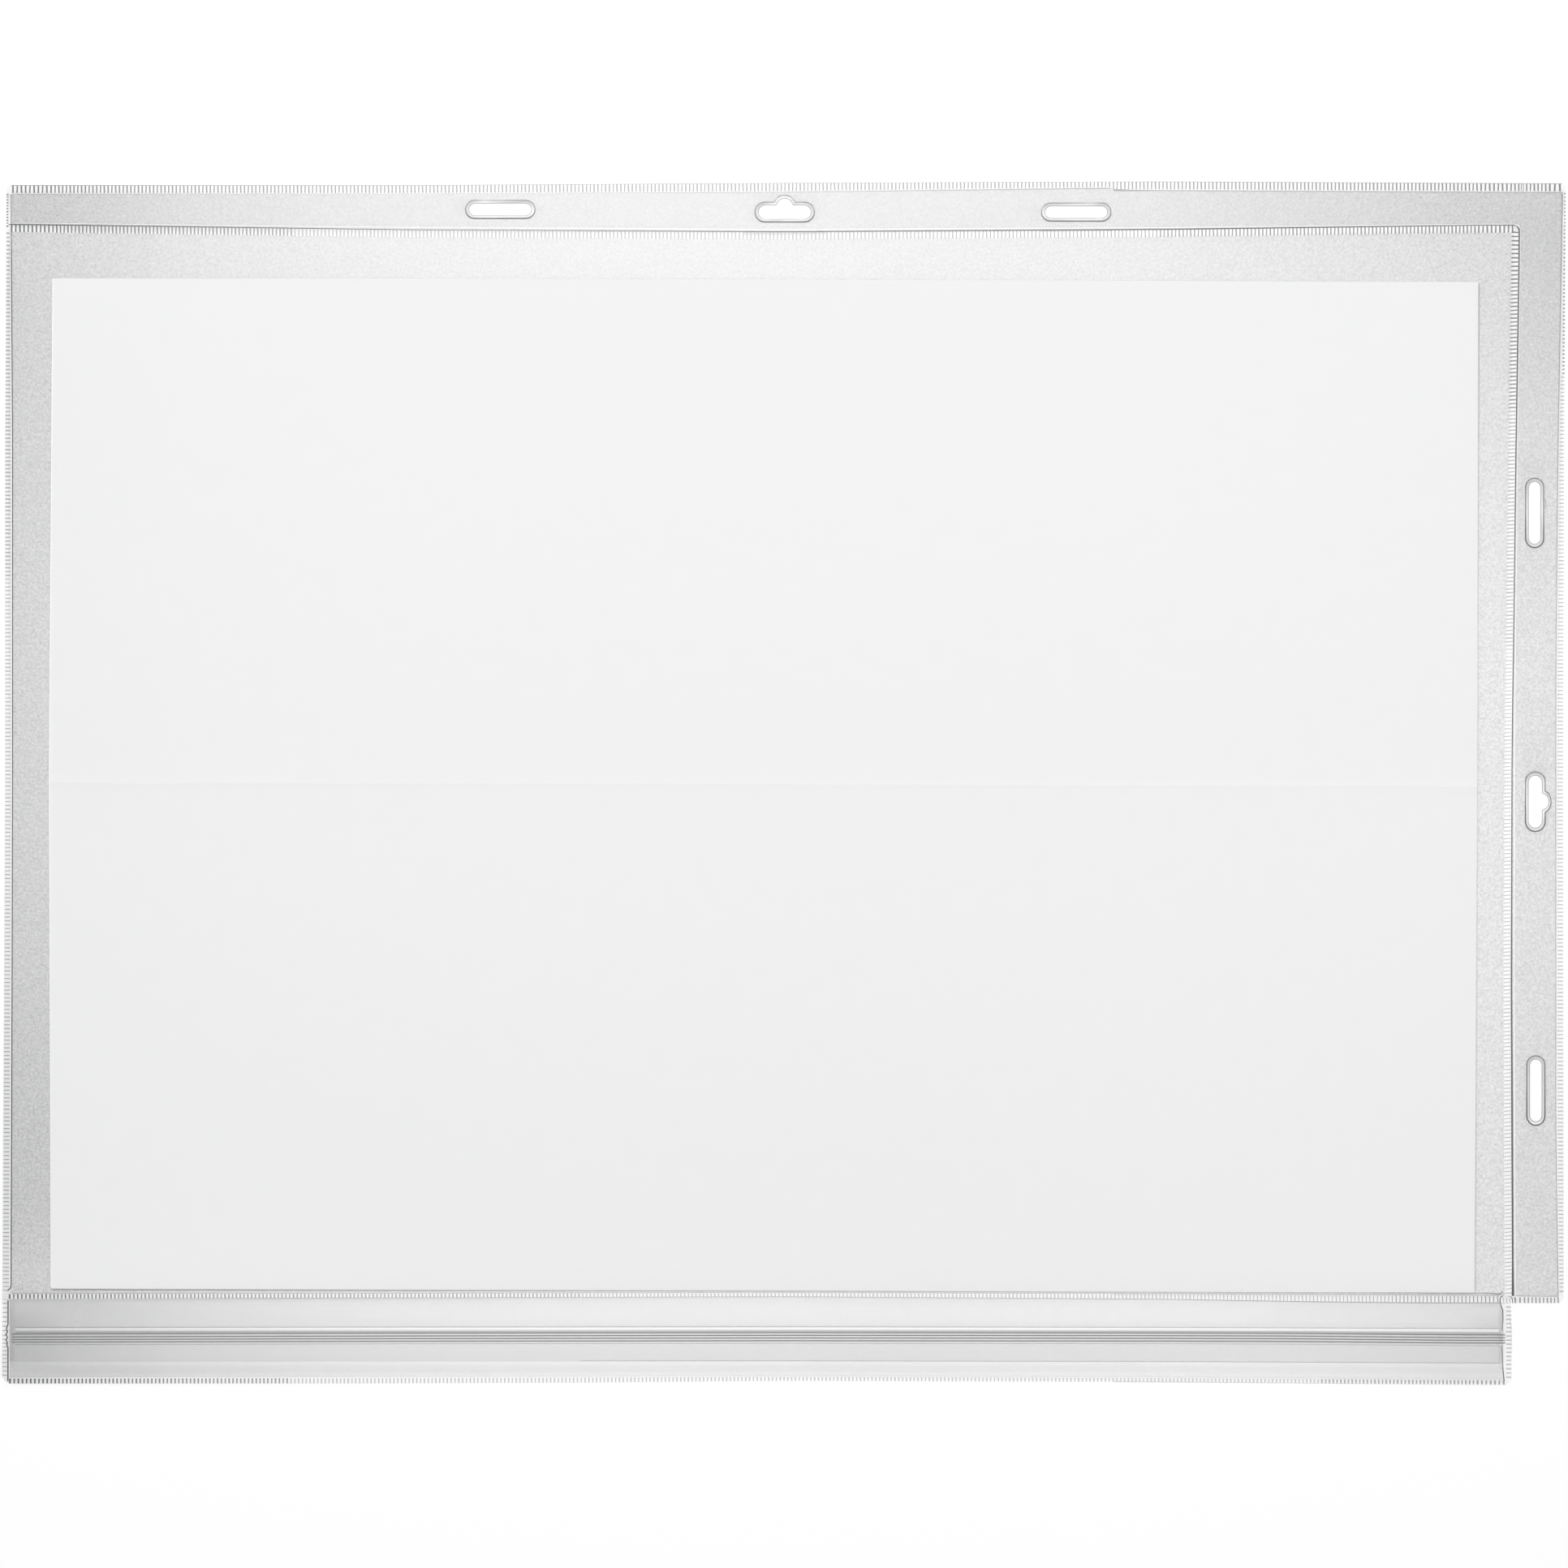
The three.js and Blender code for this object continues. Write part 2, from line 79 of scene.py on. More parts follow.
# Soft film never lies quite straight: how far each line across is moved up, as (place across, move)
UP_DRIFT = (
    (FOOT, ((-226, -0.35), (-123, -0.35), (-60, -0.1), (0, 0.45), (111, 0.1), (214, -0.7))),
    (LIP_LINE, ((-226, 0.0), (0, 0.5), (111, 0.1), (214, -0.6))),
    (TAPE_FOOT, ((-226, 0.2), (0, 0.3), (111, 0.1), (214, -0.4))),
    (RAIL_CENTRE, ((-226, -0.2), (-111, 0.1), (0, 0.3), (111, 0.2), (150, 0.1), (200, -0.4))),
    (TAPE_TOP_EDGE, ((-226, 0.1), (0, 0.3), (111, 0.1), (214, -0.3))),
    (FILM_FOOT, ((-226, 1.0), (-111, 1.3), (0, 1.7), (111, 0.9), (157, 0.1), (190, -0.25), (225, -0.2))),
    (MOUTH_LINE, ((-226, 0.2), (-111, 0.3), (0, 0.45), (111, 0.2), (204, -0.2), (225, -0.5))),
    (SHEET_FOOT, ((-226, 0.15), (-111, -0.25), (0, -0.5), (111, -0.85), (204, -1.1), (215, 0.0))),
    (0, ((-226, 0.6), (-111, 0.3), (0, 0.0), (111, -0.35), (204, -0.8), (215, 0.0))),
    (SHEET_TOP_EDGE, ((-226, 0.45), (-111, 0.35), (0, 0.0), (111, -0.35), (204, -0.65), (215, 0.0))),
    (POCKET_TOP, ((-226, 1.35), (-111, -0.2), (0, -0.8), (111, -0.1), (212, 1.2), (225, 0.6))),
    (MARGIN_FOOT, ((-226, 1.35), (-111, -0.2), (0, -0.8), (111, -0.1), (212, 1.2), (225, 0.6))),
    (164.9, ((-226, 1.0), (-100, 0.77), (-70, 0.77), (-12, 0), (12, 0), (100, 0), (225, 0.4))),
    (172.2, ((-226, 0.0), (-100, 0.77), (-70, 0.77), (-12, 0), (12, 0), (100, 0), (225, 0.0))),
    (TOP_WELD_LINE, ((-226, -0.5), (-111, -0.5), (0, 0.1), (95.9, 1.35), (96.9, 0.7), (225, 0.0))),
    (TOP, ((-226, -0.5), (-111, -0.5), (0, 0.15), (111, 0.6), (225, 0.0))),
)

# How far each line up is moved across, as (place up, move)
HOLE_ROW = (163.2, 164.9, 172.2, 173.9)
ACROSS_DRIFT = (
    (LEFT, ((-175, -0.9), (-140, -0.7), (-60, -0.25), (0, 0.0), (100, 0.0), (173, 0.46))),
    (POCKET_LEFT, ((-175, -0.3), (-140, -0.3), (-60, 0.0), (0, 0.14), (100, 0.14), (173, -0.34))),
    (SHEET_LEFT, ((-150, 0.4), (0, -0.15), (148, 0.9))),
    (-100, tuple(zip(HOLE_ROW, (0.0, 1.3, 1.3, 0.0)))),
    (-70, tuple(zip(HOLE_ROW, (0.0, 1.3, 1.3, 0.0)))),
    (-12, ((0, 0.0),)),
    (12, ((0, 0.0),)),
    (70, tuple(zip(HOLE_ROW, (0.0, 0.8, 0.8, 0.0)))),
    (100, tuple(zip(HOLE_ROW, (0.0, 0.8, 0.8, 0.0)))),
    (SHEET_RIGHT, ((-150, -0.8), (0, 0.0), (148, 0.3))),
    (POCKET_RIGHT, ((-154, 0.4), (-152.6, -0.57), (-60, -1.0), (10, -0.8), (100, 0.4), (158, 1.36))),
    (SIDE_MARGIN_LEFT, ((-154, 0.4), (-152.6, -0.57), (-60, -1.0), (10, -0.8), (100, 0.4), (158, 1.36))),
    (217.3, ((-110, 0.15), (-75, 0.15), (-16, 0.0), (6, 0.0), (65, -0.2), (95, -0.2), (158, 0.3))),
    (224.6, ((-110, 0.15), (-75, 0.15), (-16, 0.0), (6, 0.0), (65, -0.2), (95, -0.2), (158, 0.3))),
    (OUTER_RIGHT_LINE, ((-150, 0.0), (-100, -0.7), (30, -0.7), (100, 0.0), (172, 1.3))),
    (RIGHT, ((-150, -0.2), (0, -0.3), (100, 0.0), (172, 0.35))),
)


def between(place, stops):
    """The value at a place, on straight lines between (place, value) stops."""
    if place <= stops[0][0]:
        return stops[0][1]
    for (low, low_value), (high, high_value) in zip(stops, stops[1:]):
        if place <= high:
            return low_value + (high_value - low_value) * (place - low) / (high - low)
    return stops[-1][1]


def drifted(x, y):
    """Where the film's drift takes a place, in millimetres."""
    up = between(y, [(row, between(x, stops)) for row, stops in UP_DRIFT])
    across = between(x, [(column, between(y, stops)) for column, stops in ACROSS_DRIFT])
    return x + across, y + up


# Materials: tools that build their nodes


def new_group(name, takes, gives):
    """A node group with named values going in and coming out."""
    group = bpy.data.node_groups.new(name, "ShaderNodeTree")
    for label, kind, value in takes:
        socket = group.interface.new_socket(name=label, in_out="INPUT", socket_type=kind)
        if value is not None:
            socket.default_value = value
    for label, kind in gives:
        group.interface.new_socket(name=label, in_out="OUTPUT", socket_type=kind)
    nodes = group.nodes
    return group, nodes, group.links, nodes.new("NodeGroupInput"), nodes.new("NodeGroupOutput")


def math_node(nodes, links, operation, first, second=None):
    """A Math node fed by sockets or plain numbers; its result comes back."""
    node = nodes.new("ShaderNodeMath")
    node.operation = operation
    for socket, value in zip(node.inputs, (first, second)):
        if value is None:
            continue
        if isinstance(value, (int, float)):
            socket.default_value = value
        else:
            links.new(value, socket)
    return node.outputs[0]


def ramp_node(nodes, links, value, stops):
    """A grey ramp over a value, as smooth as the painted light on the film; its brightness comes back."""
    node = nodes.new("ShaderNodeValToRGB")
    ramp = node.color_ramp
    ramp.interpolation = "CARDINAL"
    ramp.elements[0].position, ramp.elements[-1].position = stops[0][0], stops[-1][0]
    for position, _ in stops[1:-1]:
        ramp.elements.new(position)
    for element, (_, grey) in zip(ramp.elements, stops):
        element.color = (grey, grey, grey, 1)
    links.new(value, node.inputs["Fac"])
    return node.outputs["Color"]


def make_painted_light_group():
    """Painted light and shade across the film: darker towards its ends and lighter in the middle: 0
    darkest, 1 lightest.

    Across is the same without the changes up and down, for the grain."""
    group, nodes, links, given, result = new_group(
        "painted light across the film",
        [("Place", "NodeSocketVector", None)],
        [("Painted light", "NodeSocketFloat"), ("Across", "NodeSocketFloat")],
    )
    place = nodes.new("ShaderNodeSeparateXYZ")
    links.new(given.outputs["Place"], place.inputs[0])
    span = (RIGHT - LEFT) * MM
    rise = (TOP - FOOT) * MM
    across = math_node(nodes, links, "DIVIDE", place.outputs["X"], span)
    across = math_node(nodes, links, "ADD", across, 0.5)
    up = math_node(nodes, links, "DIVIDE", place.outputs["Y"], rise)
    up = math_node(nodes, links, "ADD", up, 0.5)
    row = ramp_node(
        nodes, links, across,
        (
            (0, 0.19), (0.1, 0.58), (0.2, 0.84), (0.39, 1.0),
            (0.56, 0.96), (0.75, 0.78), (0.9, 0.46), (1, 0.27),
        ),
    )
    left = ramp_node(
        nodes, links, up,
        ((0, 0.5), (0.08, 0.48), (0.17, 0.27), (0.4, 0.5), (0.65, 0.58), (0.86, 0.46), (1, 0.5)),
    )
    right = ramp_node(
        nodes, links, up,
        ((0, 0.92), (0.14, 0.86), (0.4, 1.0), (0.6, 1.0), (0.82, 0.74), (0.95, 0.53)),
    )
    share = nodes.new("ShaderNodeMapRange")
    share.interpolation_type = "SMOOTHSTEP"
    share.inputs["From Min"].default_value = 0.5
    share.inputs["From Max"].default_value = 0.95
    links.new(across, share.inputs["Value"])
    left_share = math_node(nodes, links, "SUBTRACT", 1.0, share.outputs[0])
    left_part = math_node(nodes, links, "SUBTRACT", left, 0.5)
    left_part = math_node(nodes, links, "MULTIPLY", left_share, left_part)
    right_part = math_node(nodes, links, "SUBTRACT", right, 0.5)
    right_part = math_node(nodes, links, "MULTIPLY", right_part, share.outputs[0])
    total = math_node(nodes, links, "ADD", row, left_part)
    total = math_node(nodes, links, "ADD", total, right_part)
    held = nodes.new("ShaderNodeClamp")
    links.new(total, held.inputs["Value"])
    links.new(held.outputs[0], result.inputs["Painted light"])
    links.new(row, result.inputs["Across"])
    return group


def make_grain_group():
    """Fine matt embossing: a shade near 1 that varies from grain to grain, and its height."""
    group, nodes, links, given, result = new_group(
        "embossed grain",
        [
            ("Place", "NodeSocketVector", None),
            ("Fineness", "NodeSocketFloat", 900.0),
            ("Amount", "NodeSocketFloat", 0.1),
        ],
        [("Shade", "NodeSocketFloat"), ("Height", "NodeSocketFloat")],
    )
    fine = nodes.new("ShaderNodeTexNoise")
    fine.inputs["Detail"].default_value = 2.0
    fine.inputs["Roughness"].default_value = 0.6
    links.new(given.outputs["Place"], fine.inputs["Vector"])
    links.new(given.outputs["Fineness"], fine.inputs["Scale"])
    centred = math_node(nodes, links, "SUBTRACT", fine.outputs[0], 0.5)
    scaled = math_node(nodes, links, "MULTIPLY", centred, given.outputs["Amount"])
    shade = math_node(nodes, links, "ADD", scaled, 1.0)
    links.new(shade, result.inputs["Shade"])
    links.new(fine.outputs[0], result.inputs["Height"])
    return group


PAINTED_LIGHT = make_painted_light_group()
GRAIN = make_grain_group()


def film_material(name, dark, clear, alpha, roughness, grain, fineness, bump, tint=(0.985, 1.0, 0.992)):
    """A plastic film whose colour goes from dark to clear with the painted light and shade across the
    film, with a grain on it.
    """
    material = bpy.data.materials.new(name)
    material.use_nodes = True
    nodes, links = material.node_tree.nodes, material.node_tree.links
    shader = nodes["Principled BSDF"]
    shader.inputs["Roughness"].default_value = roughness
    shader.inputs["Alpha"].default_value = alpha
    shader.inputs["IOR"].default_value = 1.5
    place = nodes.new("ShaderNodeTexCoord").outputs["Object"]
    # The painted light and shade across the film sets how far each colour goes from dark to clear
    painted_light_node = nodes.new("ShaderNodeGroup")
    painted_light_node.node_tree = PAINTED_LIGHT
    links.new(place, painted_light_node.inputs["Place"])
    marks = nodes.new("ShaderNodeGroup")
    marks.node_tree = GRAIN
    marks.inputs["Fineness"].default_value = fineness
    links.new(place, marks.inputs["Place"])
    amount = nodes.new("ShaderNodeMapRange")
    amount.inputs["To Min"].default_value = grain
    amount.inputs["To Max"].default_value = grain * 0.25
    links.new(painted_light_node.outputs["Across"], amount.inputs["Value"])
    links.new(amount.outputs[0], marks.inputs["Amount"])
    colour = nodes.new("ShaderNodeMix")
    colour.data_type = "RGBA"
    colour.inputs["A"].default_value = (dark * tint[0], dark * tint[1], dark * tint[2], 1)
    colour.inputs["B"].default_value = (clear, clear, clear, 1)
    links.new(painted_light_node.outputs["Painted light"], colour.inputs["Factor"])
    shaded = nodes.new("ShaderNodeVectorMath")
    shaded.operation = "SCALE"
    links.new(colour.outputs["Result"], shaded.inputs[0])
    links.new(marks.outputs["Shade"], shaded.inputs["Scale"])
    links.new(shaded.outputs[0], shader.inputs["Base Color"])
    relief = nodes.new("ShaderNodeBump")
    relief.inputs["Strength"].default_value = bump
    relief.inputs["Distance"].default_value = 0.0001
    links.new(marks.outputs["Height"], relief.inputs["Height"])
    links.new(relief.outputs[0], shader.inputs["Normal"])
    return material


# Name, dark and clear grey, alpha, roughness, grain, the grain's fineness and its bump
# Each film colour runs from its dark grey, painted shade towards the film's ends, to its clear grey,
# painted light in the middle
BACK_FILM = film_material("embossed film, back", 0.38, 0.67, 0.46, 0.42, 1.8, 1500.0, 0.5)
FRONT_FILM = film_material("embossed film, front", 0.7, 0.85, 0.05, 0.38, 0.2, 1500.0, 0.3)
DOUBLE_FILM = film_material("embossed film pressed together", 0.16, 0.66, 0.16, 0.42, 0.5, 1500.0, 0.4)
# The welds' film is pressed clearer, and painted brighter still: a painted highlight of the light it
# reflects
PRESSED_WELD = film_material("film pressed clear in the welds, with a painted highlight", 0.76, 0.98, 0.8, 0.2, 0.15, 700.0, 0.2)
RING_WELD = film_material("film pressed clear round the holes", 0.62, 0.8, 0.8, 0.2, 0.15, 700.0, 0.2)
# The tooth marks are raised, and their darkness is painted shade
TICK_SHADE = film_material("painted shade of the welds' tooth marks", 0.05, 0.43, 1.0, 0.3, 0.3, 300.0, 0.1)
FAINT_TICK_SHADE = film_material("faint painted shade of tooth marks", 0.3, 0.56, 1.0, 0.3, 0.4, 300.0, 0.1)
# Dark beads: painted shade along the welds, the sheet's edges and the holes
SEAM_SHADE = film_material("painted shade beside the welds", 0.03, 0.14, 1.0, 0.25, 0.6, 200.0, 0.2)
FAINT_SEAM_SHADE = film_material("faint painted shade beside the welds", 0.2, 0.44, 1.0, 0.25, 0.5, 200.0, 0.2)
# Bright beads: painted highlights where the film bends over the sheet's edge and beside the welds
HIGHLIGHT_LINE = film_material("painted highlight on the film's creases", 0.84, 0.95, 1.0, 0.15, 0.1, 400.0, 0.1)
SOFT_LIGHT = film_material("soft light along the closure", 0.5, 0.86, 1.0, 0.2, 0.1, 300.0, 0.1)
LIP_FILM = film_material("smooth clear film", 0.37, 0.68, 0.4, 0.3, 0.03, 300.0, 0.1)
# A lighter copy of the lip film: painted light on the lip's lower slope
LIP_SLOPE = film_material("smooth clear film that catches light", 0.52, 0.86, 0.4, 0.3, 0.03, 300.0, 0.1)
TAPE_PLASTIC = film_material("smooth closure tape", 0.66, 0.79, 0.75, 0.25, 0.03, 300.0, 0.1)
# Painted shade in the closure's grooves and on its flank
RIB_SHADE = film_material("painted shade in the closure's grooves", 0.17, 0.2, 1.0, 0.3, 0.3, 150.0, 0.1)
RIB_FLANK_SHADE = film_material("painted shade on the closure's flank", 0.28, 0.46, 1.0, 0.3, 0.1, 150.0, 0.1)


def make_paper():
    """Matt white office paper with a faint mottle."""
    material = bpy.data.materials.new("matt white paper")
    material.use_nodes = True
    nodes, links = material.node_tree.nodes, material.node_tree.links
    shader = nodes["Principled BSDF"]
    shader.inputs["Roughness"].default_value = 0.9
    shader.inputs["IOR"].default_value = 1.45
    place = nodes.new("ShaderNodeTexCoord").outputs["Object"]
    marks = nodes.new("ShaderNodeGroup")
    marks.node_tree = GRAIN
    marks.inputs["Fineness"].default_value = 140.0
    marks.inputs["Amount"].default_value = 0.02
    links.new(place, marks.inputs["Place"])
    shaded = nodes.new("ShaderNodeVectorMath")
    shaded.operation = "SCALE"
    shaded.inputs[0].default_value = (0.775, 0.775, 0.78)
    links.new(marks.outputs["Shade"], shaded.inputs["Scale"])
    links.new(shaded.outputs[0], shader.inputs["Base Color"])
    relief = nodes.new("ShaderNodeBump")
    relief.inputs["Strength"].default_value = 0.1
    relief.inputs["Distance"].default_value = 0.0001
    links.new(marks.outputs["Height"], relief.inputs["Height"])
    links.new(relief.outputs[0], shader.inputs["Normal"])
    return material


PAPER = make_paper()


# Tools that shape the pieces


def deselect():
    """Nothing selected, and nothing in edit mode."""
    if bpy.context.object and bpy.context.object.mode == "EDIT":
        bpy.ops.object.mode_set(mode="OBJECT")
    bpy.ops.object.select_all(action="DESELECT")


def pick(piece):
    """One piece selected and active."""
    deselect()
    piece.select_set(True)
    bpy.context.view_layer.objects.active = piece


def copy_of_node(node, name, material):
    """A copy of a CAD node's mesh, merged into one skin."""
    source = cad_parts[node]
    piece = bpy.data.objects.new(name, source.data.copy())
    bpy.context.scene.collection.objects.link(piece)
    piece.data.materials.clear()
    piece.data.materials.append(material)
    pick(piece)
    bpy.ops.object.mode_set(mode="EDIT")
    bpy.ops.mesh.select_all(action="SELECT")
    bpy.ops.mesh.remove_doubles(threshold=1e-6)
    bpy.ops.object.mode_set(mode="OBJECT")
    return piece


def cut_across(piece, lines_across, lines_up):
    """The skin cut along lines, in millimetres, so that it can bend there."""
    pick(piece)
    bpy.ops.object.mode_set(mode="EDIT")
    for x in lines_across:
        bpy.ops.mesh.select_all(action="SELECT")
        bpy.ops.mesh.bisect(plane_co=(x * MM, 0, 0), plane_no=(1, 0, 0))
    for y in lines_up:
        bpy.ops.mesh.select_all(action="SELECT")
        bpy.ops.mesh.bisect(plane_co=(0, y * MM, 0), plane_no=(0, 1, 0))
    bpy.ops.object.mode_set(mode="OBJECT")


def tooth_mark(place, size, face, lean, along_x):
    """One raised mark with a narrower top, leaning along its weld. Lengths are in millimetres."""
    deselect()
    middle = (place[0] * MM, place[1] * MM, (face + (MARK_RISE - MARK_ROOT) / 2) * MM)
    bpy.ops.mesh.primitive_cube_add(size=1, location=middle)
    mark = bpy.context.object
    mark.scale = (size[0] * MM, size[1] * MM, (MARK_RISE + MARK_ROOT) * MM)
    bpy.ops.object.transform_apply(location=True, rotation=True, scale=True)
    for polygon in mark.data.polygons:
        polygon.select = polygon.normal.z > 0.5
    for edge in mark.data.edges:
        edge.select = False
    for vertex in mark.data.vertices:
        vertex.select = vertex.co.z > (face + MARK_RISE / 2) * MM
    bpy.ops.object.mode_set(mode="EDIT")
    bpy.ops.transform.resize(value=(0.7, 0.94, 1) if along_x else (0.94, 0.7, 1))
    bpy.ops.object.mode_set(mode="OBJECT")
    for vertex in mark.data.vertices:
        if along_x:
            vertex.co.x += lean * (vertex.co.y - place[1] * MM)
        else:
            vertex.co.y += lean * (vertex.co.x - place[0] * MM)
    return mark


def ticks(name, from_x, to_x, from_y, to_y, face, material, along_x=True, width=0.46):
    """A row of tooth marks: three uneven ones modelled, then repeated along the weld."""
    run = (to_x - from_x) if along_x else (to_y - from_y)
    reach = (to_y - from_y) if along_x else (to_x - from_x)
    middle = (from_y + to_y) / 2 if along_x else (from_x + to_x) / 2
    units = max(round(run / (3 * TICK_PITCH)), 1)
    pitch = run / (3 * units)
    marks = []
    for step, broad, lean, long in MARK_SHAPES:
        along = (from_x if along_x else from_y) + (step + 0.5) * pitch
        place = (along, middle) if along_x else (middle, along)
        size = (width * broad, reach * long) if along_x else (reach * long, width * broad)
        marks.append(tooth_mark(place, size, face, lean, along_x))
    row = joined(marks)
    row.name = name
    array = row.modifiers.new("row", "ARRAY")
    array.use_relative_offset = False
    array.use_constant_offset = True
    apart = 3 * pitch * MM
    array.constant_offset_displace = (apart, 0, 0) if along_x else (0, apart, 0)
    array.count = units
    bpy.ops.object.modifier_apply(modifier="row")
    row.data.materials.append(material)
    return row


def bead(name, places, width, face, material, closed=False, flat=0.45, swell=None):
    """A thin raised line along places in millimetres, thicker where swell says so."""
    curve = bpy.data.curves.new(name, "CURVE")
    curve.dimensions = "3D"
    curve.bevel_depth = width / 2 * MM
    curve.bevel_resolution = 1
    curve.use_fill_caps = True
    spline = curve.splines.new("POLY")
    spline.points.add(len(places) - 1)
    for index, (point, (x, y)) in enumerate(zip(spline.points, places)):
        point.co = (x * MM, y * MM, face * MM, 1)
        point.radius = swell[index] if swell else 1.0
    spline.use_cyclic_u = closed
    line = bpy.data.objects.new(name, curve)
    bpy.context.scene.collection.objects.link(line)
    pick(line)
    bpy.ops.object.convert(target="MESH")
    line = bpy.context.object
    bpy.ops.object.mode_set(mode="EDIT")
    bpy.ops.mesh.select_all(action="SELECT")
    bpy.ops.transform.resize(value=(1, 1, flat), center_override=(0, 0, face * MM))
    bpy.ops.object.mode_set(mode="OBJECT")
    line.data.materials.clear()
    line.data.materials.append(material)
    return line


def straight(x1, y1, x2, y2, step=9.0):
    """Places along a straight line, close enough together for the drift."""
    length = math.hypot(x2 - x1, y2 - y1)
    count = max(int(length / step), 1)
    return [(x1 + (x2 - x1) * n / count, y1 + (y2 - y1) * n / count) for n in range(count + 1)]


def arc(x, y, radius, start, end, steps=6):
    """Places along an arc, with its start and end in degrees."""
    places = []
    for n in range(steps + 1):
        turn = math.radians(start + (end - start) * n / steps)
        places.append((x + radius * math.cos(turn), y + radius * math.sin(turn)))
    return places


def slot_line(x, y, length, width, hump, turned):
    """The outline of a punched slot: round ends, and a hump on its outward side if it has one."""
    radius = width / 2
    reach = length / 2 - radius
    places = straight(-reach, -radius, reach, -radius, 3)
    places += arc(reach, 0, radius, -90, 90, 8)[1:]
    if hump:
        rise, humped = hump
        centre = radius + rise - humped
        foot = math.degrees(math.asin(min((radius - centre) / humped, 1)))
        places += arc(0, centre, humped, foot, 180 - foot, 10)
    places += straight(0 if not hump else -humped * 1.05, radius, -reach, radius, 3)
    places += arc(-reach, 0, radius, 90, 270, 8)[1:-1]
    if turned:
        places = [(py, -px) for px, py in places]
    return [(x + px, y + py) for px, py in places]


def joined(pieces):
    """The first piece with the others joined to it."""
    deselect()
    for piece in pieces:
        piece.select_set(True)
    bpy.context.view_layer.objects.active = pieces[0]
    bpy.ops.object.join()
    return bpy.context.object


def finish_piece(piece, node, angle=30, thinned=1.0, sunk=0.0):
    """Moves the piece with the film's drift, and puts it in its CAD node's place.

    Films that touch are thinned or sunk a hair, so that no two faces share one plane."""
    for vertex in piece.data.vertices:
        vertex.co.z = vertex.co.z * thinned - sunk * MM
        x, y = drifted(vertex.co.x / MM, vertex.co.y / MM)
        vertex.co.x = x * MM
        vertex.co.y = y * MM
    pick(piece)
    bpy.ops.object.shade_smooth_by_angle(angle=math.radians(angle))
    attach(piece, "root")
    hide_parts(node)
    return piece


# The films are cut along these lines, so that the drift can bend them there
BENDS_ACROSS = [-210 + 15 * n for n in range(29)] + [-100, -70, -12, 12, 70, 100, 95.9, 96.9]
SHEET_BENDS = [-140 + 20 * n for n in range(15)]
BENDS_UP = SHEET_BENDS + [164.9, 172.2]


# Back film: plain, embossed all over

back_film = copy_of_node("back_film", "back_film_sheet", BACK_FILM)
cut_across(back_film, BENDS_ACROSS, BENDS_UP + [POCKET_TOP, MARGIN_FOOT, TOP_WELD_LINE])
finish_piece(back_film, "back_film", thinned=THINNED)


# Front film: pressed clear in its welds and around its holes

front_film = copy_of_node("front_film", "front_film_sheet", FRONT_FILM)
for material in (PRESSED_WELD, DOUBLE_FILM, RING_WELD):
    front_film.data.materials.append(material)
cut_across(front_film, BENDS_ACROSS, BENDS_UP)

HOLES = (
    (-85, 168, 18.2, 3.4, None, False),
    (0, 168, 15.3, 3.9, (2.0, 2.5), False),
    (85, 168, 18.2, 3.4, None, False),
    (220.9, 79.5, 18.2, 3.4, None, True),
    (220.9, -5.5, 15.3, 3.9, (2.0, 2.5), True),
    (220.9, -90.5, 18.2, 3.4, None, True),
)


def is_at(height, polygon):
    """Whether a face lies flat at a height in millimetres."""
    return polygon.normal.z > 0.7 and abs(polygon.center.z / MM - height) < 0.02


def near_hole(place):
    """Whether a place is in a hole's ring, clear of the welds."""
    x, y = place.x / MM, place.y / MM
    return any(
        abs(x - hole_x) < (4.5 if turned else 11) and abs(y - hole_y) < (11 if turned else 5.6)
        for hole_x, hole_y, _, _, _, turned in HOLES
    )


# Weld faces get the weld films with their painted highlight; faces where the films lie together get the
# double film
for polygon in front_film.data.polygons:
    if is_at(WELD_FACE, polygon):
        polygon.material_index = 3 if near_hole(polygon.center) else 1
    elif is_at(FILM_FACE, polygon):
        polygon.material_index = 2


def strong_below(places, middle, reach, least):
    """Bead thickness that grows from least towards a ring's lower side."""
    return [least + (1.2 - least) * max(0.0, min(1.0, (middle - y) / reach + 0.3)) for _, y in places]


def corner_line(left, top, right, foot, radius):
    """A line along the pocket's top, round its upper right corner and down its right side."""
    places = straight(left, top, right - radius, top)
    places += arc(right - radius, top - radius, radius, 90, 0, 5)[1:]
    return places + straight(right, top - radius, right, foot)[1:]


over_pocket = corner_line(-228.4, 163.0, 214.85, -150.6, 1.8)
light_over_pocket = corner_line(-226.5, 163.5, 215.4, -150.6, 2.2)
# Bead thickness along the lines, as (place, share of the full thickness)
OVER_POCKET_SHARES = (
    (-190, 0.75), (-100, 0.5), (35, 0.75), (127, 0.9),
    (170, 0.75), (205, 0.55), (213, 0.6),
)
RIGHT_WELD_SHARES = ((-150.6, 1.9), (-148, 1.25), (-100, 1.25), (0, 0.8), (60, 0.85), (120, 1.2))
SHEET_FOOT_SHARES = ((-216, 0.6), (-120, 0.75), (-60, 0.5), (5, 0.3), (70, 0.15), (168, 0.15), (190, 1.0))
LOWER_MOUTH_SHARES = ((-227, 0.15), (-195, 0.3), (-150, 1.1))
SHEET_RIGHT_SHARES = ((-149, 0.8), (-60, 0.5), (0, 0.3), (60, 0.5), (140, 1.2))
over_pocket_swell = [
    between(x, OVER_POCKET_SHARES) if x < 214.5 else between(y, RIGHT_WELD_SHARES) for x, y in over_pocket
]
light_swell = [between(x, ((-228, 0.5), (-100, 0.6), (0, 1.0))) for x, _ in light_over_pocket]
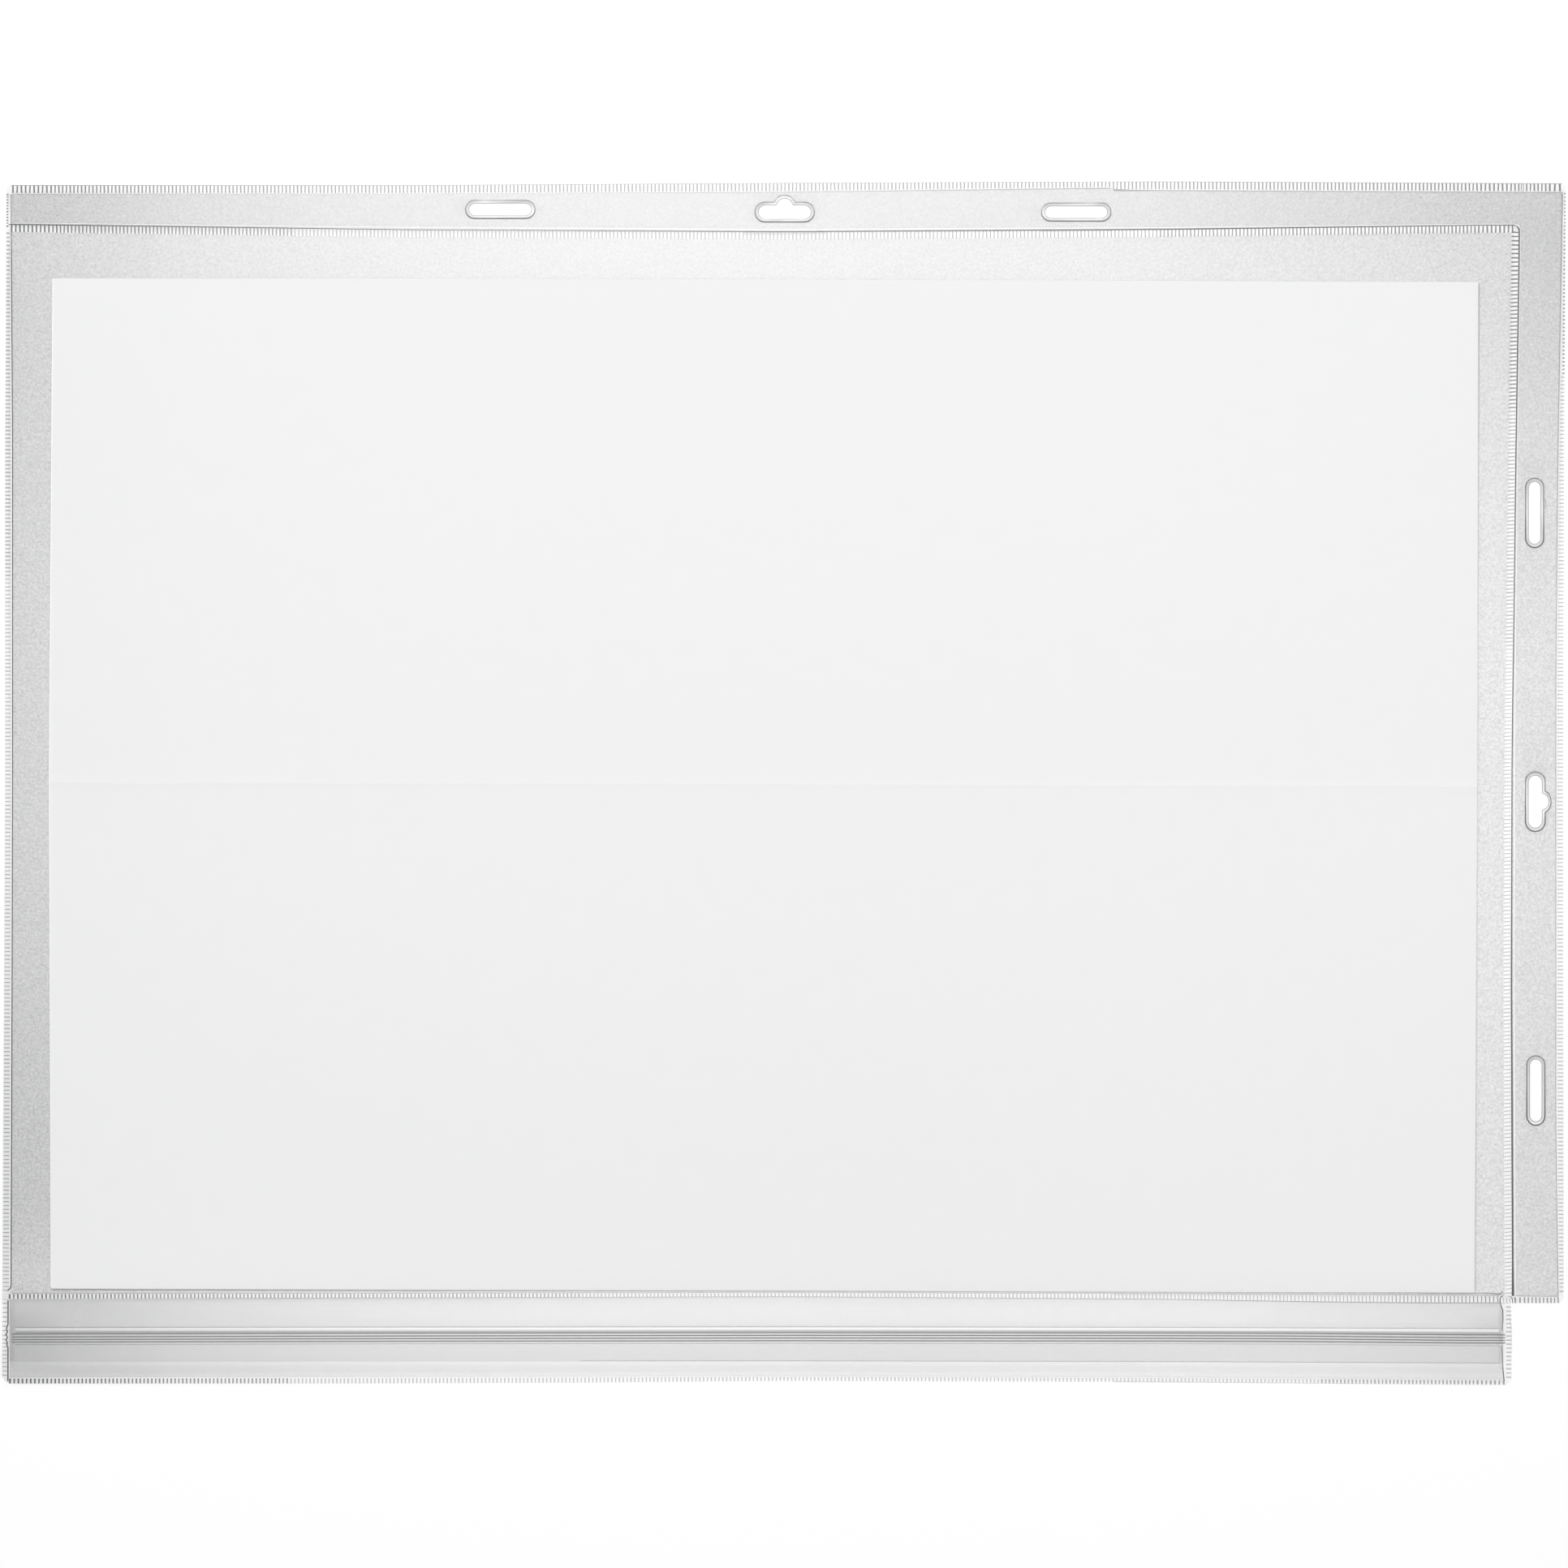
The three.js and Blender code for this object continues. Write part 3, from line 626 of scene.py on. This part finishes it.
# Painted shade along the sheet's foot
sheet_foot = straight(-216, -149.25, 70, -149.25)
sheet_foot_swell = [between(x, SHEET_FOOT_SHARES) for x, _ in sheet_foot]
sheet_foot_right = straight(168, -149.25, 203.8, -149.25)
sheet_foot_right += [(207, -149.5), (209.5, -149.9), (211.1, -150.1), (211.9, -149.3)]
sheet_foot_right_swell = [between(x, SHEET_FOOT_SHARES) for x, _ in sheet_foot_right]
lower_mouth = straight(-227.3, -152.75, 211.0, -152.75)
lower_mouth_swell = [between(x, LOWER_MOUTH_SHARES) for x, _ in lower_mouth]
sheet_left = straight(SHEET_LEFT, -148.5, SHEET_LEFT, 148)
sheet_right = straight(204.0, -149, 204.0, 147.6)
sheet_right_swell = [between(y, SHEET_RIGHT_SHARES) for _, y in sheet_right]
under_top = straight(96.6, 173.75, 227.5, 173.75, 6)
starting_bold = [max(0.5, 1.5 - (x - 96.6) / 12) for x, _ in under_top]
left_line = straight(-227.35, 173.5, -227.35, -147.8) + [(-227.6, -148.8), (-228.2, -149.6)]
left_line_swell = [0.35 if y > MARGIN_FOOT else 1.0 for _, y in left_line]

# The mouth's weld ends in a small pad between the pocket and the side margin
pad_left = [(212.0, -150.6), (211.3, -151.0), (211.1, -151.8), (211.1, -152.7), (211.1, -153.2)]
pad_right = [(213.4, -150.6), (214.4, -150.9), (214.7, -151.6), (214.6, -152.9)]

# The dark marks and beads below are painted shade; the bright beads are painted highlights
details = [
    ticks("top weld marks", -227.4, 227.6, 174.1, 176.4, WELD_FACE, TICK_SHADE),
    ticks("pocket top weld marks, left", -227.8, -145.0, 160.75, 162.9, WELD_FACE, TICK_SHADE, width=0.5),
    ticks("pocket top weld marks", -145.0, 50.0, 160.75, 162.9, WELD_FACE, FAINT_TICK_SHADE, width=0.5),
    ticks("pocket top weld marks, narrow", 50.0, 110.0, 160.75, 162.9, WELD_FACE, TICK_SHADE, width=0.34),
    ticks("pocket top weld marks, right", 110.0, 213.4, 160.75, 162.9, WELD_FACE, TICK_SHADE),
    ticks("mouth weld marks, left", -228.3, -60.0, -152.75, -150.7, WELD_FACE, TICK_SHADE),
    ticks("mouth weld marks", -60.0, 120.0, -152.7, -150.75, WELD_FACE, FAINT_TICK_SHADE),
    ticks("mouth weld marks, narrow", 120.0, 180.0, -152.7, -150.75, WELD_FACE, TICK_SHADE, width=0.26),
    ticks(
        "mouth weld marks, near the pad", 180.0, 211.0, -152.75, -150.7, WELD_FACE, TICK_SHADE,
        width=0.34,
    ),
    ticks("mouth weld marks, right", 214.8, 228.2, -152.85, -151.0, WELD_FACE, TICK_SHADE),
    ticks("left weld marks, low", -229.4, -227.85, -150.0, 60.0, WELD_FACE, FAINT_TICK_SHADE, False, width=0.3),
    ticks("left weld marks", -229.4, -227.85, 60.0, 161.0, WELD_FACE, FAINT_TICK_SHADE, False),
    ticks("left weld marks, top", -229.4, -228.5, 162.0, 174.0, WELD_FACE, TICK_SHADE, False),
    ticks(
        "pocket right weld marks, low", 212.5, 214.6, -150.4, 40.0, WELD_FACE, FAINT_TICK_SHADE, False,
        width=0.3,
    ),
    ticks("pocket right weld marks, mid", 212.5, 214.6, 40.0, 110.0, WELD_FACE, FAINT_TICK_SHADE, False),
    ticks("pocket right weld marks", 212.5, 214.6, 110.0, 161.5, WELD_FACE, TICK_SHADE, False),
    ticks(
        "outer right weld marks, low", 228.0, 229.4, -150.0, 120.0, WELD_FACE, FAINT_TICK_SHADE, False,
        width=0.36,
    ),
    ticks("outer right weld marks", 228.6, 229.4, 120.0, 174.0, WELD_FACE, TICK_SHADE, False),
    bead("line under top weld", straight(-226, 173.75, 95.7, 173.75), 0.12, FILM_FACE, FAINT_SEAM_SHADE),
    bead("edge line of top weld", straight(-227.3, 176.35, 227.6, 176.35), 0.15, WELD_FACE, FAINT_SEAM_SHADE),
    bead("line under top weld, right", under_top, 0.3, FILM_FACE, FAINT_SEAM_SHADE, swell=starting_bold),
    bead("line over pocket", over_pocket, 0.36, WELD_FACE, SEAM_SHADE, swell=over_pocket_swell),
    bead("light over pocket", light_over_pocket, 0.22, FILM_FACE, HIGHLIGHT_LINE, swell=light_swell),
    bead("left inner line", left_line, 0.26, FILM_FACE, SEAM_SHADE, swell=left_line_swell),
    bead("left inner light", straight(-227.7, -149.0, -227.7, 175), 0.26, WELD_FACE, HIGHLIGHT_LINE),
    bead("outer right line", straight(227.6, -151.0, 227.6, 173.5), 0.24, FILM_FACE, FAINT_SEAM_SHADE),
    bead("sheet foot line", sheet_foot, 0.27, POCKET_FACE - 0.1, SEAM_SHADE, swell=sheet_foot_swell),
    bead(
        "sheet foot line, right", sheet_foot_right, 0.27, POCKET_FACE - 0.1, SEAM_SHADE,
        swell=sheet_foot_right_swell,
    ),
    bead("mouth line", straight(-227.3, -150.5, 211.0, -150.5), 0.18, FILM_FACE, FAINT_SEAM_SHADE),
    bead("mouth line, right", straight(215.0, -150.6, 227.6, -150.6), 0.2, FILM_FACE, FAINT_SEAM_SHADE),
    bead("lower mouth line", lower_mouth, 0.22, WELD_FACE, FAINT_SEAM_SHADE, swell=lower_mouth_swell),
    bead("pad's left side", pad_left, 0.28, WELD_FACE, SEAM_SHADE),
    bead("pad's right side", pad_right, 0.24, WELD_FACE, SEAM_SHADE, swell=[0.5, 0.8, 1.0, 0.8]),
    ticks("pad marks", 211.6, 214.4, -152.8, -151.2, WELD_FACE, FAINT_TICK_SHADE, width=0.3),
    bead("painted highlight on the crease over the sheet", sheet_left, 0.28, POCKET_FACE, HIGHLIGHT_LINE),
    bead("shade beside the sheet", sheet_right, 0.16, POCKET_FACE, FAINT_SEAM_SHADE, swell=sheet_right_swell),
]
# Round each hole, a ring and a rim of painted shade; the ring's is thickest on its lower side
for number, (x, y, length, width, hump, turned) in enumerate(HOLES):
    grown = None if not hump else (hump[0], hump[1] + 0.9)
    ring = slot_line(x, y, length + 2.3, width + 1.9, grown, turned)
    swell = strong_below(ring, y, 12, 0.7) if turned else strong_below(ring, y, 4, 0.42)
    details.append(bead(f"ring {number}", ring, 0.32, FILM_FACE, SEAM_SHADE, True, swell=swell))
    rim = slot_line(x, y, length + 0.25, width + 0.25, hump, turned)
    # The painted shade at an upper hole's rim is strong where its ring's is faint
    swell = None if turned else [1.7 - share for share in strong_below(rim, y, 4, 0.42)]
    details.append(bead(f"rim {number}", rim, 0.2, WELD_FACE, FAINT_SEAM_SHADE, True, swell=swell))
nick = [(223.7, 83.8), (224.1, 83.1), (224.3, 82.4), (224.1, 81.7), (223.7, 81.0)]
details.append(bead("nick beside the upper side slot", nick, 0.24, FILM_FACE, FAINT_SEAM_SHADE))
front_film = joined([front_film] + details)
finish_piece(front_film, "front_film")


# Lips and closure tapes below the mouth

back_lip = copy_of_node("back_lip", "back_lip_film", LIP_FILM)
cut_across(back_lip, BENDS_ACROSS, [TAPE_TOP_EDGE, -165, TAPE_FOOT])
finish_piece(back_lip, "back_lip", thinned=THINNED)

back_tape = copy_of_node("back_closure_tape", "back_tape_strip", TAPE_PLASTIC)
cut_across(back_tape, BENDS_ACROSS, [])
finish_piece(back_tape, "back_closure_tape")

front_tape = copy_of_node("front_closure_tape", "front_tape_strip", TAPE_PLASTIC)
cut_across(front_tape, BENDS_ACROSS, [])
finish_piece(front_tape, "front_closure_tape", sunk=0.015)

front_lip = copy_of_node("front_lip", "front_lip_film", LIP_FILM)
front_lip.data.materials.append(PRESSED_WELD)
front_lip.data.materials.append(LIP_SLOPE)
cut_across(front_lip, BENDS_ACROSS, [TAPE_FOOT, LIP_LINE])
# The lip's lower slope gets the lighter copy: painted light on a slope that faces away from the lamp
for polygon in front_lip.data.polygons:
    if is_at(WELD_FACE, polygon):
        polygon.material_index = 1
    elif LIP_LINE < polygon.center.y / MM < TAPE_FOOT:
        polygon.material_index = 2

# The welds' inner lines of painted shade swing out round the ends of the closure's ribs
left_swing = [(-228.1, -153.2), (-228.1, -159.5), (-228.5, -160.6), (-228.2, -161.4), (-228.6, -162.2)]
left_swing += [(-228.2, -163.0), (-228.6, -163.8), (-228.2, -164.6), (-228.4, -165.2), (-228.1, -166.0)]
left_swing += [(-228.1, -175.8)]
right_swing = [(210.85, -153.3), (211.1, -155.0), (211.15, -158.0), (210.9, -160.6)]
right_swing_below = [(210.8, -165.2), (211.0, -168.0), (211.1, -171.5), (211.45, -175.4)]
lip_details = [
    ticks("lip weld marks, left", -228.2, -146.0, -176.4, -175.2, WELD_FACE, TICK_SHADE, width=0.54),
    ticks("lip weld marks", -146.0, 158.0, -176.4, -175.25, WELD_FACE, FAINT_TICK_SHADE),
    ticks("lip weld marks, right", 158.0, 211.9, -176.4, -175.2, WELD_FACE, TICK_SHADE, width=0.54),
    ticks("closure right weld marks", 212.0, 213.4, -174.9, -153.4, WELD_FACE, FAINT_TICK_SHADE, False),
    ticks(
        "closure left weld marks", -229.4, -228.3, -174.9, -153.4, WELD_FACE, FAINT_TICK_SHADE, False,
        width=0.3,
    ),
    bead("closure left line", left_swing, 0.26, FILM_FACE, SEAM_SHADE),
    bead("closure right line", right_swing, 0.26, FILM_FACE, SEAM_SHADE),
    bead("closure right line, lower", right_swing_below, 0.26, FILM_FACE, SEAM_SHADE),
]
# The lines along the closure are painted: the dark and grey ones painted shade, the light one a painted
# highlight
# Lines along the closure: name, left end, right end, place up, width, material and flatness
ALONG_CLOSURE = (
    ("line over the tape", -226.0, 210.0, -160.15, 0.16, FAINT_SEAM_SHADE, 0.3),
    ("light over the tape", -226.0, 210.0, -160.75, 0.6, SOFT_LIGHT, 0.12),
    ("flank over the ribs", -226.0, 210.6, -161.45, 0.5, RIB_FLANK_SHADE, 0.12),
    ("line at the tape's foot", -60, 210.0, -170.2, 0.16, FAINT_SEAM_SHADE, 0.3),
    ("line under the ribs", -226.0, 210.0, -165.05, 0.16, FAINT_SEAM_SHADE, 0.3),
)
for name, left, right, y, width, material, flat in ALONG_CLOSURE:
    lip_details.append(bead(name, straight(left, y, right, y), width, LIP_FACE, material, flat=flat))
# Four dark lines of painted shade where the closure's grooves lie
for number in range(RIB_GROOVES):
    y = RIB_MIDDLE + ((RIB_GROOVES - 1) / 2 - number) * RIB_PITCH
    lip_details.append(
        bead(f"groove {number}", straight(-227.0, y, 211.6, y), 0.32, LIP_FACE, RIB_SHADE, flat=0.3)
    )
front_lip = joined([front_lip] + lip_details)
finish_piece(front_lip, "front_lip")


# Paper sheet, with the crease of its pressed-out fold

paper = copy_of_node("paper_sheet", "white_paper_sheet", PAPER)
# The crease rises at FOLD, between the bend at 0 and the one at twice FOLD
cut_across(paper, BENDS_ACROSS, SHEET_BENDS + [FOLD, 2 * FOLD])
for vertex in paper.data.vertices:
    if abs(vertex.co.y - FOLD * MM) < 0.01 * MM:
        vertex.co.z += CREASE_RISE * MM
finish_piece(paper, "paper_sheet", 8)


# Floor, lights and camera

FLOOR_SIZE = 8
FLOOR_DROP = 0.0003
# The camera hangs straight above, as far off as gives the photograph's frame
CAMERA_PLACE = (-0.0002, -0.0003, 1.923)

deselect()
bpy.ops.mesh.primitive_plane_add(size=FLOOR_SIZE, location=(0, 0, -FLOOR_DROP))
floor = bpy.context.object
floor.name = "floor"
floor_paint = bpy.data.materials.new("pale floor")
floor_paint.use_nodes = True
floor_shader = floor_paint.node_tree.nodes["Principled BSDF"]
floor_shader.inputs["Base Color"].default_value = (0.95, 0.95, 0.95, 1)
floor_shader.inputs["Roughness"].default_value = 0.9
floor_shader.inputs["Specular IOR Level"].default_value = 0.0
floor.data.materials.append(floor_paint)

world = bpy.data.worlds.new("soft room light")
bpy.context.scene.world = world
world.use_nodes = True
world.node_tree.nodes["Background"].inputs["Color"].default_value = (1, 1, 1, 1)
world.node_tree.nodes["Background"].inputs["Strength"].default_value = 0.5

lamp = bpy.data.lights.new("overhead softbox", "AREA")
lamp.shape = "RECTANGLE"
lamp.size, lamp.size_y = 2.2, 2.0
lamp.energy = 45
lamp_object = bpy.data.objects.new("overhead softbox", lamp)
lamp_object.location = (0, 0.88, 2.2)
lamp_object.rotation_euler = (math.radians(-18), 0, 0)
bpy.context.scene.collection.objects.link(lamp_object)

# Thin clear film hardly casts a shadow
CLEAR_PIECES = (back_film, front_film, back_lip, front_lip, back_tape, front_tape)
for piece in CLEAR_PIECES:
    piece.visible_shadow = False

camera = bpy.data.cameras.new("camera over the pocket")
camera.lens = 150
camera.sensor_width = 36
camera.clip_start, camera.clip_end = 0.1, 20
camera_object = bpy.data.objects.new("camera over the pocket", camera)
camera_object.location = CAMERA_PLACE
bpy.context.scene.collection.objects.link(camera_object)
bpy.context.scene.camera = camera_object
bpy.context.scene.view_settings.view_transform = "Standard"
